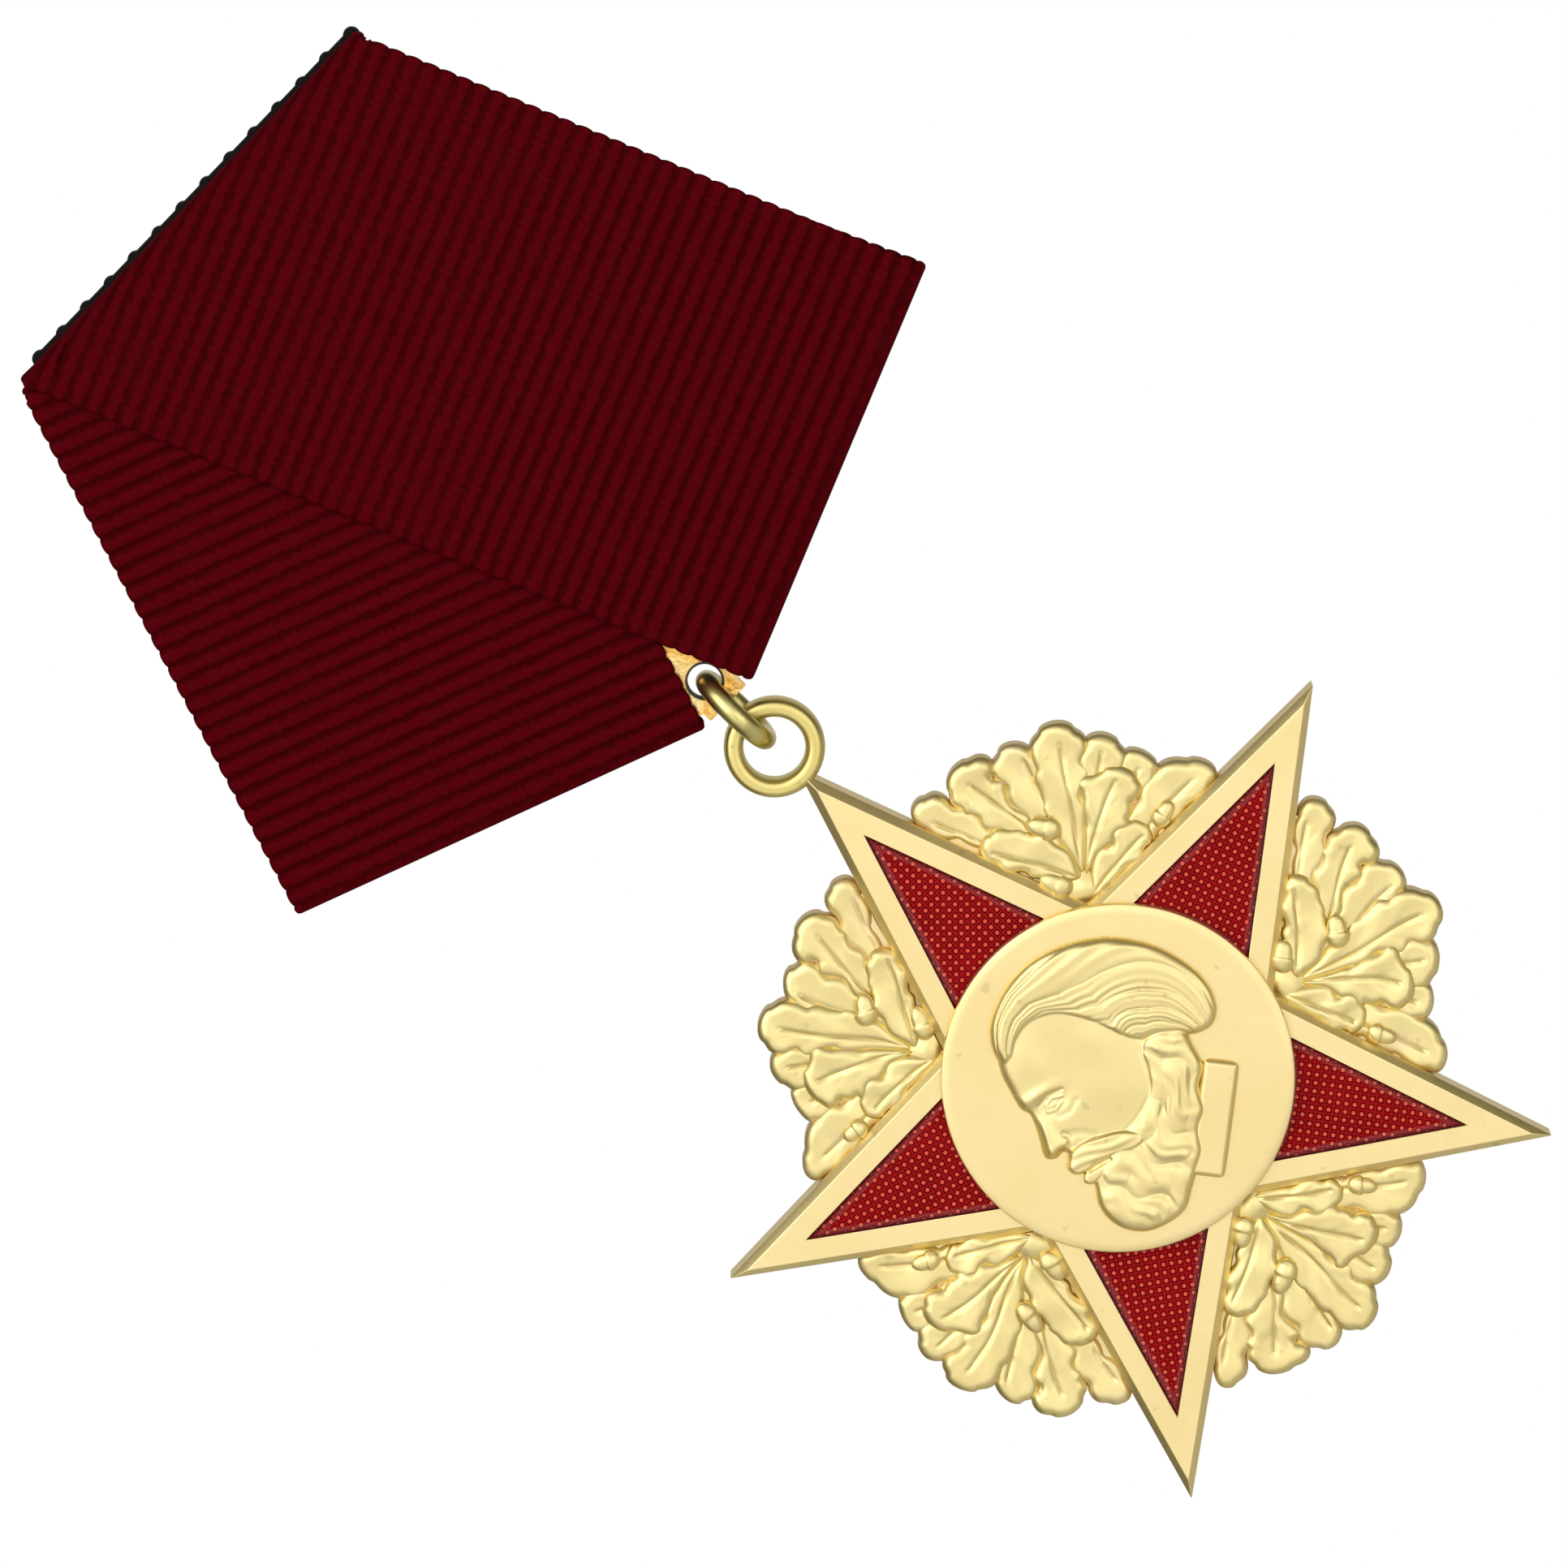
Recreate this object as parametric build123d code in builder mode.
"""Pentagonal-ribbon order medal: a five-point enamelled star with oak-leaf sprays and a portrait medallion,
hung by a jump ring from a ribbon-covered suspension plate with a hinged brooch pin behind it.

Frame, in millimetres: +Z up, the face of the medal looks along -Y, and the origin is the middle of the pin needle.
Bodies that move: the jump ring, the star, the needle and the rolling lock of the catch.
"""

import os
from math import atan2, cos, degrees, hypot, radians, sin, sqrt, tan

from build123d import *

# --- ribbon and suspension plate ---------------------------------------------------------------------------
RIBBON_WIDTH = 23.6
CLOTH = 0.45  # thickness of the ribbed ribbon
LAYER_GAP = 0.02
# each front run's lower outer corner from the middle of the top edge, then the slope of its lower edge and the
# lean of its selvedge from the vertical, in degrees
RIGHT_CORNER, RIGHT_FOLD, RIGHT_LEAN = (23.7, -29.7), 21.4, 21.6
LEFT_CORNER, LEFT_FOLD, LEFT_LEAN = (-23.7, -29.8), 21.2, 18.8
END_TUCK = 10.0  # ribbon end turned down behind the top edge
START_TUCK = 3.0  # ribbon end turned up behind the lower left edge

PLATE_THICKNESS = 0.8
PLATE_SIDE_INSET = 0.8
TONGUE_HALF_WIDTH = 1.3
TONGUE_BOTTOM = -38.4  # from the ribbon's top edge
HOLE_RADIUS = 0.9
BRIDGE_HEIGHT = 0.8  # metal left below the hole

BACK_PLATE_THICKNESS = 0.5
BACK_PLATE_RISE = 0.3  # how far the back plate shows above the ribbon
BACK_PLATE_INSET = 0.8
BACK_PLATE_FOOT = -33.0
BEAM_LEFT, BEAM_RIGHT = -12.0, 11.5  # first and last bead of the back plate's upper edge
BEAM_HEIGHT = 0.5
BEAD_COUNT = 14
BEAD_RADIUS = 0.45
RIVET_PLACES = [(-9.5, -16.0), (9.5, -16.0), (0.0, -29.5)]  # from the middle of the top edge
CLAMP_RADIUS = 0.6
CLAMP_HEAD_RADIUS, CLAMP_HEAD_HEIGHT = 1.1, 0.4

# --- brooch fitting ----------------------------------------------------------------------------------------
NEEDLE_DROP = 8.0  # needle axis below the ribbon's top edge
NEEDLE_RADIUS = 0.4
NEEDLE_STANDOFF = 1.9  # needle axis behind the brooch bar
BAR_LENGTH = 27.0
BAR_HEIGHT = 4.2
BAR_THICKNESS = 0.5
BAR_CORNER = 0.8
HINGE_X = -11.5
CATCH_X = 10.9
EAR_THICKNESS = 0.5
EAR_GAP = 1.24
EYE_RADIUS = 1.05
EYE_HEIGHT = 1.1
HINGE_RIVET_RADIUS = 0.45
HINGE_HEAD_RADIUS, HINGE_HEAD_HEIGHT = 0.75, 0.25
RUNNING_GAP = 0.04
NEEDLE_TIP_X = 12.4
TIP_LENGTH = 3.8
TIP_RADIUS = 0.06
CATCH_LENGTH = 2.4
LOCK_INNER, LOCK_OUTER = 0.62, 0.98
HOUSING_INNER, HOUSING_OUTER = 1.02, 1.4
CATCH_SLOT = 1.16  # width of the mouth that the needle swings through
HOUSING_FOOT = 1.5  # width of the web between the housing and the bar
LEVER_WIDTH, LEVER_LENGTH, LEVER_THICKNESS = 0.55, 0.9, 0.75
LOCK_OVERHANG = 0.9  # how far the lock stands out of its housing, lever included
OVERLAP = 0.15  # how far joined shapes run into each other
BAR_RIVET_X = 6.0
BAR_RIVET_RADIUS = 0.45
BAR_RIVET_HEAD_RADIUS, BAR_RIVET_HEAD_HEIGHT = 0.7, 0.2

# --- jump ring and eyelet ----------------------------------------------------------------------------------
JUMP_WIRE = 1.15
JUMP_MEAN_RADIUS = 2.15
EYELET_INNER, EYELET_OUTER = 1.62, 2.66
EYELET_DEPTH = 2.0
EYELET_CROWN = 0.45  # rounding of its rims
LINK_CLEARANCE = 0.04

# --- star --------------------------------------------------------------------------------------------------
POINTS = 5
STAR_RADIUS = 23.3
STAR_INNER = 9.2
STAR_FRONT, STAR_BACK = 1.2, 1.1  # front and back faces from the star's middle plane
STAR_BEVEL = 0.42
FRAME_WIDTH = 1.55  # outer edge to enamel, measured square to the edge
CELL_INNER_RADIUS = 8.9
CELL_DEPTH = 0.6
ENAMEL_BELOW_FRAME = 0.1
EYELET_TO_CENTRE = 25.05

SPRAY_FRONT = 0.45  # leaf sprays' base, from the middle plane towards the front
SPRAY_BACK = 0.9
SPRAY_GAP = 0.02
SPRAY_FLANK = 10.2  # length of a spray's straight side, along the star's arm
SPRAY_CREST, SPRAY_FAN = 16.9, 12.0
# lobes of one spray: bearing from its middle line in degrees, reach from the star's centre, lobe radius
SPRAY_LOBES = [
    (-26.0, 17.1, 1.5),
    (-14.5, 18.1, 1.7),
    (-6.5, 18.4, 1.3),
    (1.5, 18.8, 1.7),
    (9.0, 18.1, 1.4),
    (15.5, 17.3, 1.3),
    (24.0, 17.2, 1.6),
]

DISC_RADIUS = 9.3
DISC_THICKNESS = 0.5
DISC_EDGE = 0.15
HAIR_CENTRE, HAIR_RADIUS, HEAD_RELIEF = (0.9, 1.6), 5.5, 0.75
BEARD_CENTRE, BEARD_RADIUS, BEARD_RELIEF = (-2.0, -4.2), 3.2, 0.6
FACE_CENTRE, FACE_WIDTH, FACE_HEIGHT, FACE_RELIEF = (-2.4, 0.2), 6.4, 8.4, 0.45
NOSE_TIP, NOSE_SIZE = (-5.6, 0.0), 1.6
COLLAR_CENTRE, COLLAR_SLOPE = (2.0, -5.0), 37.0
COLLAR_LENGTH, COLLAR_WIDTH, COLLAR_ROUND, COLLAR_RELIEF = 5.4, 1.9, 0.3, 0.4
RIVET_CIRCLE = 5.5
RIVET_BEARINGS = (90, 210, 330)
RIVET_RADIUS = 0.5
RIVET_HEAD_RADIUS = 0.9
RIVET_HEAD_HEIGHT = 0.4
RIVET_SINK = 0.25  # how far a rivet enters the medallion

# --- places worked out from the sizes above ----------------------------------------------------------------
TOP_Z = NEEDLE_DROP
PLATE_HALF = PLATE_THICKNESS / 2
LAYER = CLOTH + LAYER_GAP
INNER_FACE = PLATE_HALF + LAYER_GAP  # plate side of the inner ribbon layer
OUTER_FACE = INNER_FACE + LAYER
STACK_BACK = OUTER_FACE + CLOTH
BACK_PLATE_Y = STACK_BACK + LAYER_GAP
BAR_Y = BACK_PLATE_Y + BACK_PLATE_THICKNESS
MID_Y = -(BAR_Y + BAR_THICKNESS + NEEDLE_STANDOFF)  # middle plane of the suspension plate and of the star

BRIDGE_Z = TOP_Z + TONGUE_BOTTOM + BRIDGE_HEIGHT / 2
HOLE_Z = TOP_Z + TONGUE_BOTTOM + BRIDGE_HEIGHT + HOLE_RADIUS
JUMP_INNER = JUMP_MEAN_RADIUS - JUMP_WIRE / 2
BRIDGE_CORNER = hypot(BRIDGE_HEIGHT / 2, PLATE_HALF)
JUMP_Z = BRIDGE_Z - (JUMP_INNER - BRIDGE_CORNER - LINK_CLEARANCE)
RIM_Y = EYELET_DEPTH / 2
EYELET_TOP_Z = JUMP_Z - sqrt(JUMP_INNER**2 - RIM_Y**2) + LINK_CLEARANCE
EYELET_Z = EYELET_TOP_Z - EYELET_INNER
STAR_PIVOT_Z = JUMP_Z - sqrt(JUMP_MEAN_RADIUS**2 - RIM_Y**2)
STAR_Z = EYELET_Z - EYELET_TO_CENTRE

STEP_ANGLE = 360 / POINTS
HALF_STEP = STEP_ANGLE / 2
# half angle of a star point, from its two radii
HALF_TIP = degrees(
    atan2(STAR_INNER * sin(radians(HALF_STEP)), STAR_RADIUS - STAR_INNER * cos(radians(HALF_STEP)))
)


def front_plane(y):
    """Sketch plane facing the viewer: sketch x is X, sketch y is Z, and extruding by a positive amount comes forward."""
    return Plane(origin=(0, y, 0), x_dir=(1, 0, 0), z_dir=(0, -1, 0))


def star_plane(y):
    """The same, centred on the star."""
    return Plane(origin=(0, y, STAR_Z), x_dir=(1, 0, 0), z_dir=(0, -1, 0))


def polar(radius, bearing):
    return radius * cos(radians(bearing)), radius * sin(radians(bearing))


def strip_point(run, across, along):
    """A point of a ribbon run: across its width from the outer selvedge, and along it upwards from the lower fold.

    A run is its lower outer corner, its fold's slope, its selvedges' lean and its side, +1 right or -1 left."""
    corner, fold, lean, side = run
    x = corner[0] - side * (across * cos(radians(fold)) + along * sin(radians(lean)))
    z = corner[1] - across * sin(radians(fold)) + along * cos(radians(lean))
    return x, z + TOP_Z


def length_to(run, across, level):
    """How far along a run a level is, counted from the fold."""
    corner, fold, lean, side = run
    return (level - corner[1] + across * sin(radians(fold))) / cos(radians(lean))


def run_outline(run, top):
    """Four corners of a ribbon run between its lower fold and a level, both measured from the top edge."""
    return [
        strip_point(run, 0, 0),
        strip_point(run, RIBBON_WIDTH, 0),
        strip_point(run, RIBBON_WIDTH, length_to(run, RIBBON_WIDTH, top)),
        strip_point(run, 0, length_to(run, 0, top)),
    ]


def run_band(run, height):
    """The stretch of a run next to its lower fold."""
    corners = [(0, 0), (RIBBON_WIDTH, 0), (RIBBON_WIDTH, height), (0, height)]
    return [strip_point(run, across, along) for across, along in corners]


def top_span(run, level):
    """Where a run's outer and inner selvedges cross a level."""
    outline = run_outline(run, level)
    return outline[3][0], outline[2][0]


RIGHT = (RIGHT_CORNER, RIGHT_FOLD, RIGHT_LEAN, 1)
LEFT = (LEFT_CORNER, LEFT_FOLD, LEFT_LEAN, -1)
INNER_TOP = -LAYER - LAYER_GAP  # the inner run turns over one layer lower

parts = {}


def slab(y_front, y_back, points):
    """Adds a flat layer of the outline to the part being built."""
    with BuildSketch(front_plane(MID_Y + y_back)) as outline:
        Polygon(*points, align=None)
    extrude(outline.sketch, amount=y_back - y_front)


# --- suspension plate: the brass pentagon that carries everything ------------------------------------------
with BuildPart() as suspension_plate:
    plate_top = INNER_TOP - CLOTH - LAYER_GAP
    fold_room = CLOTH + LAYER_GAP
    corners = []
    for run in (RIGHT, LEFT):
        side = run[3]
        high_x = strip_point(run, PLATE_SIDE_INSET, length_to(run, PLATE_SIDE_INSET, plate_top))[0]
        foot_z = strip_point(run, RIBBON_WIDTH, fold_room)[1]
        half = [
            (high_x, TOP_Z + plate_top),
            strip_point(run, PLATE_SIDE_INSET, fold_room),
            (side * TONGUE_HALF_WIDTH, foot_z),
            (side * TONGUE_HALF_WIDTH, TOP_Z + TONGUE_BOTTOM),
        ]
        corners += half[::side]
    slab(-PLATE_HALF, PLATE_HALF, corners)
    with Locations(Location((0, MID_Y, HOLE_Z), (90, 0, 0))):
        Hole(HOLE_RADIUS)
parts["suspension_plate"] = suspension_plate

# --- ribbon: one strip, from behind the lower left edge, up the front, over the top, down the back, round the
# --- lower right edge, up the front again and over the top to its end ---------------------------------------
def level_band(left_x, right_x, top, depth, drift=0.0):
    """A band below a level, leaning to the left by the drift."""
    low, high = TOP_Z + top - depth, TOP_Z + top
    return [(left_x - drift, low), (right_x - drift, low), (right_x, high), (left_x, high)]


with BuildPart() as ribbon:
    slab(INNER_FACE, INNER_FACE + CLOTH, run_band(LEFT, START_TUCK))
    slab(-INNER_FACE - CLOTH, INNER_FACE + CLOTH, run_band(LEFT, CLOTH))
    slab(-INNER_FACE - CLOTH, -INNER_FACE, run_outline(LEFT, INNER_TOP))
    inner_left, inner_right = top_span(LEFT, INNER_TOP)
    slab(-INNER_FACE - CLOTH, INNER_FACE + CLOTH, level_band(inner_left, inner_right, INNER_TOP, CLOTH))
    slab(INNER_FACE, INNER_FACE + CLOTH, run_outline(RIGHT, INNER_TOP))
    slab(-OUTER_FACE - CLOTH, INNER_FACE + CLOTH, run_band(RIGHT, CLOTH))
    slab(-OUTER_FACE - CLOTH, -OUTER_FACE, run_outline(RIGHT, 0))
    outer_right, outer_left = top_span(RIGHT, 0)
    slab(-OUTER_FACE - CLOTH, OUTER_FACE + CLOTH, level_band(outer_left, outer_right, 0, CLOTH))
    end_drift = END_TUCK * tan(radians(RIGHT_LEAN))
    slab(OUTER_FACE, OUTER_FACE + CLOTH, level_band(outer_left, outer_right, 0, END_TUCK, end_drift))
parts["ribbon"] = ribbon

# --- back plate: black pentagon that closes the back, with a beaded upper edge ------------------------------
with BuildPart() as back_plate:
    y0, y1 = BACK_PLATE_Y, BACK_PLATE_Y + BACK_PLATE_THICKNESS
    foot_z = TOP_Z + BACK_PLATE_FOOT
    corners = []
    for run, beam_end in ((RIGHT, BEAM_RIGHT), (LEFT, BEAM_LEFT)):
        side = run[3]
        low_x, low_z = strip_point(run, BACK_PLATE_INSET, BACK_PLATE_INSET)
        foot_x = low_x - side * (low_z - foot_z) / tan(radians(run[1]))
        corners += [(beam_end, TOP_Z), (low_x, low_z), (foot_x, foot_z)][::side]
    slab(y0, y1, corners)
    beam_middle, beam_length = (BEAM_LEFT + BEAM_RIGHT) / 2, BEAM_RIGHT - BEAM_LEFT
    with BuildSketch(front_plane(MID_Y + y1)):
        with Locations((beam_middle, TOP_Z + BACK_PLATE_RISE - BEAD_RADIUS)):
            with GridLocations(beam_length / (BEAD_COUNT - 1), 1, BEAD_COUNT, 1):
                Circle(BEAD_RADIUS)
        with Locations((beam_middle, TOP_Z + BACK_PLATE_RISE / 2 - BEAM_HEIGHT / 2)):
            Rectangle(beam_length, BEAM_HEIGHT)
    extrude(amount=BACK_PLATE_THICKNESS)
parts["back_plate"] = back_plate

# --- plate rivets: three domed rivets that clamp the back plate, ribbon and suspension plate -----------------

def dome(radius, height):
    """Adds a domed head standing on the part's XY plane location, by revolving a quarter profile."""
    ball = (radius**2 + height**2) / (2 * height)
    with BuildSketch(Plane.XZ) as profile:
        with BuildLine():
            RadiusArc((radius, 0), (0, height), -ball)
            Polyline((0, height), (0, 0), (radius, 0))
        make_face()
    revolve(profile.sketch, axis=Axis.Z)


with BuildPart() as one_clamp_rivet:
    dome(CLAMP_HEAD_RADIUS, CLAMP_HEAD_HEIGHT)
    Cylinder(CLAMP_RADIUS, BACK_PLATE_THICKNESS, align=(Align.CENTER, Align.CENTER, Align.MAX))
clamp_depth = MID_Y + BACK_PLATE_Y + BACK_PLATE_THICKNESS
with BuildPart() as plate_rivets:
    for x, z in RIVET_PLACES:
        add(one_clamp_rivet.part.moved(Location((x, clamp_depth, TOP_Z + z), (-90, 0, 0))))
parts["plate_rivets"] = plate_rivets
with BuildPart(mode=Mode.PRIVATE) as rivet_drill:
    for x, z in RIVET_PLACES:
        with Locations(Location((x, clamp_depth, TOP_Z + z), (90, 0, 0))):
            Cylinder(CLAMP_RADIUS, 4 * BACK_PLATE_THICKNESS)
back_plate.part = back_plate.part - rivet_drill.part

# --- brooch bar: flat strip with two hinge ears ---------------------------------------------------------------
bar_front = MID_Y + BAR_Y
bar_back = bar_front + BAR_THICKNESS
with BuildPart() as brooch_bar:
    with BuildSketch(front_plane(bar_back)):
        RectangleRounded(BAR_LENGTH, BAR_HEIGHT, BAR_CORNER)
    extrude(amount=BAR_THICKNESS)
    ear_z = EAR_GAP / 2 + EAR_THICKNESS / 2
    for side in (-1, 1):
        with BuildSketch(Plane.XY.offset(side * ear_z - EAR_THICKNESS / 2)):
            with Locations((HINGE_X, bar_back - OVERLAP)):
                Rectangle(2 * EYE_RADIUS, NEEDLE_STANDOFF + OVERLAP, align=(Align.CENTER, Align.MIN))
            with Locations((HINGE_X, 0)):
                Circle(EYE_RADIUS)
        extrude(amount=EAR_THICKNESS)
    with Locations((HINGE_X, 0, 0)):
        Cylinder(HINGE_RIVET_RADIUS, 2 * BAR_HEIGHT, mode=Mode.SUBTRACT)
parts["brooch_bar"] = brooch_bar

# --- hinge rivet ----------------------------------------------------------------------------------------------
rivet_span = EAR_GAP + 2 * EAR_THICKNESS
with BuildPart() as hinge_rivet:
    with Locations((HINGE_X, 0, 0)):
        Cylinder(HINGE_RIVET_RADIUS, rivet_span)
    for side in (-1, 1):
        with BuildSketch(Plane.XY.offset(side * rivet_span / 2)):
            with Locations((HINGE_X, 0)):
                Circle(HINGE_HEAD_RADIUS)
        extrude(amount=side * HINGE_HEAD_HEIGHT)
parts["hinge_rivet"] = hinge_rivet

# --- needle: pointed wire with a flat eye round the rivet ------------------------------------------------------
with BuildPart() as needle:
    with Locations((HINGE_X, 0, 0)):
        Cylinder(EYE_RADIUS, EYE_HEIGHT)
    with BuildSketch(Plane.YZ.offset(HINGE_X + EYE_RADIUS / 2)):
        Circle(NEEDLE_RADIUS)
    extrude(amount=NEEDLE_TIP_X - TIP_LENGTH - HINGE_X - EYE_RADIUS / 2)
    with BuildSketch(Plane.YZ.offset(NEEDLE_TIP_X - TIP_LENGTH)):
        Circle(NEEDLE_RADIUS)
    with BuildSketch(Plane.YZ.offset(NEEDLE_TIP_X)):
        Circle(TIP_RADIUS)
    loft()
    with Locations((HINGE_X, 0, 0)):
        Cylinder(HINGE_RIVET_RADIUS + RUNNING_GAP, 2 * EYE_HEIGHT, mode=Mode.SUBTRACT)
parts["needle"] = needle

# --- catch: a fixed C-shaped housing on the bar, and the rolling lock inside it ---------------------------------
catch_plane = Plane.YZ.offset(CATCH_X - CATCH_LENGTH / 2)


def c_section(inner, outer, mouth, reach):
    """Sketches a ring about the needle, open towards the back by the mouth's width."""
    Circle(outer)
    Circle(inner, mode=Mode.SUBTRACT)
    Rectangle(reach, mouth, align=(Align.MIN, Align.CENTER), mode=Mode.SUBTRACT)


with BuildPart() as catch_housing:
    with BuildSketch(catch_plane):
        c_section(HOUSING_INNER, HOUSING_OUTER, CATCH_SLOT, 2 * HOUSING_OUTER)
    extrude(amount=CATCH_LENGTH)
    with BuildSketch(catch_plane):
        with Locations((-HOUSING_INNER - OVERLAP, 0)):
            web = NEEDLE_STANDOFF - HOUSING_INNER - OVERLAP
            Rectangle(web, HOUSING_FOOT, align=(Align.MAX, Align.CENTER))
    extrude(amount=CATCH_LENGTH)
parts["catch_housing"] = catch_housing

with BuildPart() as catch_lock:
    with BuildSketch(catch_plane.offset(-LOCK_OVERHANG)):
        c_section(LOCK_INNER, LOCK_OUTER, CATCH_SLOT, 2 * LOCK_OUTER)
    extrude(amount=CATCH_LENGTH + LOCK_OVERHANG)
    with BuildSketch(catch_plane.offset(-LOCK_OVERHANG)):
        with Locations((0, LOCK_OUTER - OVERLAP)):
            Rectangle(LEVER_WIDTH, LEVER_LENGTH, align=(Align.CENTER, Align.MIN))
    extrude(amount=LEVER_THICKNESS)
parts["catch_lock"] = catch_lock

# --- bar rivets: two flush rivets between the brooch bar and the back plate -------------------------------------
with BuildPart() as bar_rivets:
    for x in (-BAR_RIVET_X, BAR_RIVET_X):
        with Locations(Location((x, bar_back, 0), (-90, 0, 0))):
            Cylinder(BAR_RIVET_HEAD_RADIUS, BAR_RIVET_HEAD_HEIGHT, align=(Align.CENTER, Align.CENTER, Align.MIN))
            Cylinder(BAR_RIVET_RADIUS, BAR_THICKNESS, align=(Align.CENTER, Align.CENTER, Align.MAX))
parts["bar_rivets"] = bar_rivets
with BuildPart(mode=Mode.PRIVATE) as bar_drill:
    for x in (-BAR_RIVET_X, BAR_RIVET_X):
        with Locations(Location((x, bar_back, 0), (90, 0, 0))):
            Cylinder(BAR_RIVET_RADIUS, 4 * BAR_THICKNESS)
brooch_bar.part = brooch_bar.part - bar_drill.part

# --- jump ring: round wire through the plate's hole and the star's eyelet ----------------------------------------
with BuildPart() as jump_ring:
    with Locations(Location((0, MID_Y, JUMP_Z), (0, 90, 0))):
        Torus(JUMP_MEAN_RADIUS, JUMP_WIRE / 2)
parts["jump_ring"] = jump_ring

# --- star body ---------------------------------------------------------------------------------------------------


def star_sketch(inset=0.0):
    """Sketches the star, with every edge moved inwards by the inset."""
    edge_distance = STAR_RADIUS * sin(radians(HALF_TIP))
    scale_factor = (edge_distance - inset) / edge_distance
    points = []
    for i in range(POINTS):
        bearing = 90 + i * STEP_ANGLE
        points.append(polar(scale_factor * STAR_RADIUS, bearing))
        points.append(polar(scale_factor * STAR_INNER, bearing + HALF_STEP))
    Polygon(*points, align=None)


cell_tip = STAR_RADIUS - FRAME_WIDTH / sin(radians(HALF_TIP))


def cell_sketch(bearing, shrink=0.0):
    """Sketches one enamel cell: a triangle along the arm, ending on a circle just inside the medallion's rim."""
    tip = cell_tip - shrink / sin(radians(HALF_TIP))
    half = tip * tan(radians(HALF_TIP))
    with Locations(Location((0, 0, 0), bearing)):
        Polygon((tip, 0), (0, half), (0, -half), align=None)


with BuildPart() as star_body:
    with BuildSketch(star_plane(MID_Y + STAR_BACK)):
        star_sketch()
    extrude(amount=STAR_FRONT + STAR_BACK - STAR_BEVEL)
    with BuildSketch(star_plane(MID_Y - STAR_FRONT + STAR_BEVEL)):
        star_sketch()
    with BuildSketch(star_plane(MID_Y - STAR_FRONT)):
        star_sketch(STAR_BEVEL)
    loft(ruled=True)
    for i in range(POINTS):
        with BuildSketch(star_plane(MID_Y - STAR_FRONT)):
            cell_sketch(90 + i * STEP_ANGLE)
            Circle(CELL_INNER_RADIUS, mode=Mode.SUBTRACT)
        extrude(amount=-CELL_DEPTH, mode=Mode.SUBTRACT)

# --- enamel cells --------------------------------------------------------------------------------------------------
enamel_front = MID_Y - STAR_FRONT + ENAMEL_BELOW_FRAME
for i in range(POINTS):
    with BuildPart() as enamel:
        with BuildSketch(star_plane(enamel_front)):
            cell_sketch(90 + i * STEP_ANGLE, shrink=LAYER_GAP)
            Circle(CELL_INNER_RADIUS + LAYER_GAP, mode=Mode.SUBTRACT)
        extrude(amount=-(CELL_DEPTH - ENAMEL_BELOW_FRAME))
    parts[f"enamel_{i + 1}"] = enamel

# --- suspension eyelet: the deep ring brazed to the top point ---------------------------------------------------------
with BuildPart() as eyelet:
    with BuildSketch(Plane(origin=(0, MID_Y, EYELET_Z), x_dir=(1, 0, 0), z_dir=(0, 0, 1))):
        with Locations(((EYELET_INNER + EYELET_OUTER) / 2, 0)):
            Rectangle(EYELET_OUTER - EYELET_INNER, EYELET_DEPTH)
    revolve(axis=Axis((0, MID_Y, EYELET_Z), (0, 1, 0)))
    fillet(eyelet.edges().filter_by(GeomType.CIRCLE), EYELET_CROWN)
    with BuildSketch(star_plane(MID_Y + STAR_BACK)):
        star_sketch()
    extrude(amount=STAR_FRONT + STAR_BACK, mode=Mode.SUBTRACT)
parts["eyelet"] = eyelet

# --- oak-leaf sprays, one between each pair of points -------------------------------------------------------------------


def spray_outline(middle):
    """Sketches one spray: a wedge that follows two arms of the star, with a lobed outer edge."""
    spread = HALF_STEP + HALF_TIP  # angle between the spray's middle line and a neighbouring arm's edge
    root_x, root_y = polar(STAR_INNER, middle)
    flanks = [polar(SPRAY_FLANK, bearing) for bearing in (middle + spread, middle - spread)]
    left, right = [(root_x + x, root_y + y) for x, y in flanks]
    crest = [polar(SPRAY_CREST, bearing) for bearing in (middle - SPRAY_FAN, middle + SPRAY_FAN)]
    Polygon((root_x, root_y), right, *crest, left, align=None)
    for bearing, out, lobe in SPRAY_LOBES:
        with Locations(polar(out - lobe, middle - bearing)):
            Circle(lobe)


for i in range(POINTS):
    middle = 90 - HALF_STEP - i * STEP_ANGLE
    with BuildPart() as spray:
        with BuildSketch(star_plane(MID_Y + SPRAY_BACK)):
            spray_outline(middle)
        extrude(amount=SPRAY_FRONT + SPRAY_BACK)
        with BuildSketch(star_plane(MID_Y + STAR_BACK)):
            star_sketch(-SPRAY_GAP)
        extrude(amount=STAR_FRONT + STAR_BACK, mode=Mode.SUBTRACT)
    parts[f"oak_spray_{i + 1}"] = spray

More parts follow.
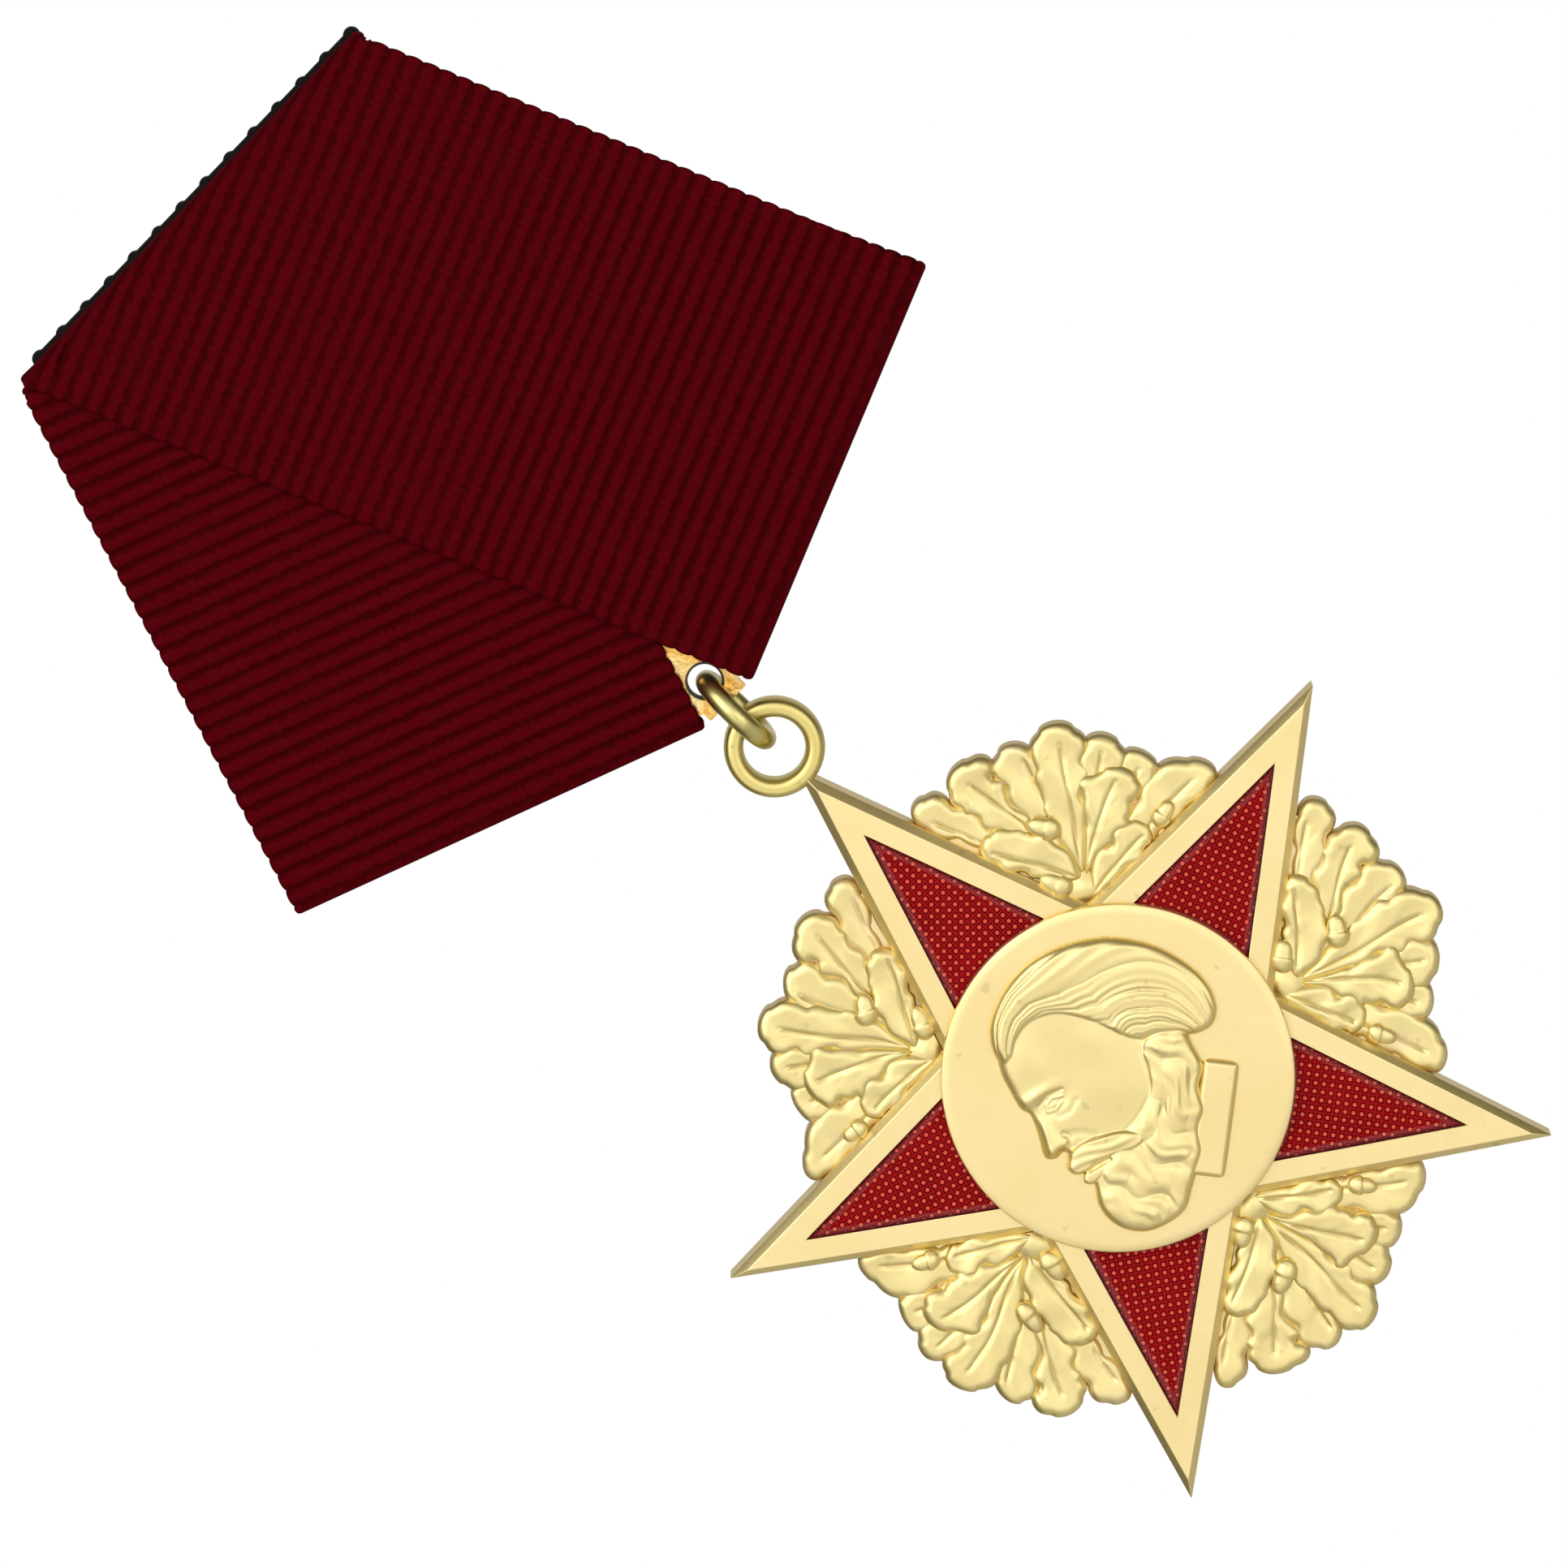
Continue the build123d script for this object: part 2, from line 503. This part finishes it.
# --- medallion: disc with a bearded head in relief and its collar ---------------------------------------------------------
disc_back = MID_Y - STAR_FRONT - LAYER_GAP
disc_front = disc_back - DISC_THICKNESS
with BuildPart() as crown_of_hair:
    dome(HAIR_RADIUS, HEAD_RELIEF)
with BuildPart() as beard:
    dome(BEARD_RADIUS, BEARD_RELIEF)
with BuildPart() as medallion:
    with BuildSketch(star_plane(disc_back)):
        Circle(DISC_RADIUS)
    extrude(amount=DISC_THICKNESS)
    chamfer(medallion.faces().sort_by(Axis.Y)[0].edges(), DISC_EDGE)
    for swelling, (x, z) in [(crown_of_hair, HAIR_CENTRE), (beard, BEARD_CENTRE)]:
        add(swelling.part.moved(Location((x, disc_front, STAR_Z + z), (90, 0, 0))))
    with BuildSketch(star_plane(disc_front)):
        with Locations(FACE_CENTRE):
            Ellipse(FACE_WIDTH / 2, FACE_HEIGHT / 2)
        with Locations(NOSE_TIP):
            Triangle(a=NOSE_SIZE, b=NOSE_SIZE, c=NOSE_SIZE, rotation=90)
    extrude(amount=FACE_RELIEF)
    with BuildSketch(star_plane(disc_front)):
        with Locations(Location((*COLLAR_CENTRE, 0), COLLAR_SLOPE)):
            RectangleRounded(COLLAR_LENGTH, COLLAR_WIDTH, COLLAR_ROUND)
    extrude(amount=COLLAR_RELIEF)
parts["medallion"] = medallion

# --- medallion rivets: shanks through the star, with heads on its back -------------------------------------------------------
shank = STAR_FRONT + STAR_BACK + LAYER_GAP + RIVET_SINK
with BuildPart() as one_rivet:
    dome(RIVET_HEAD_RADIUS, RIVET_HEAD_HEIGHT)
    Cylinder(RIVET_RADIUS, shank, align=(Align.CENTER, Align.CENTER, Align.MAX))
with BuildPart() as medallion_rivets:
    for bearing in RIVET_BEARINGS:
        x, z = polar(RIVET_CIRCLE, bearing)
        add(one_rivet.part.moved(Location((x, MID_Y + STAR_BACK, STAR_Z + z), (-90, 0, 0))))
parts["medallion_rivets"] = medallion_rivets
star_body.part = star_body.part - medallion_rivets.part
medallion.part = medallion.part - medallion_rivets.part
parts["star_body"] = star_body

os.makedirs("parts", exist_ok=True)
for name, builder in parts.items():
    builder.part.label = name
    export_step(builder.part, f"parts/{name}.step")
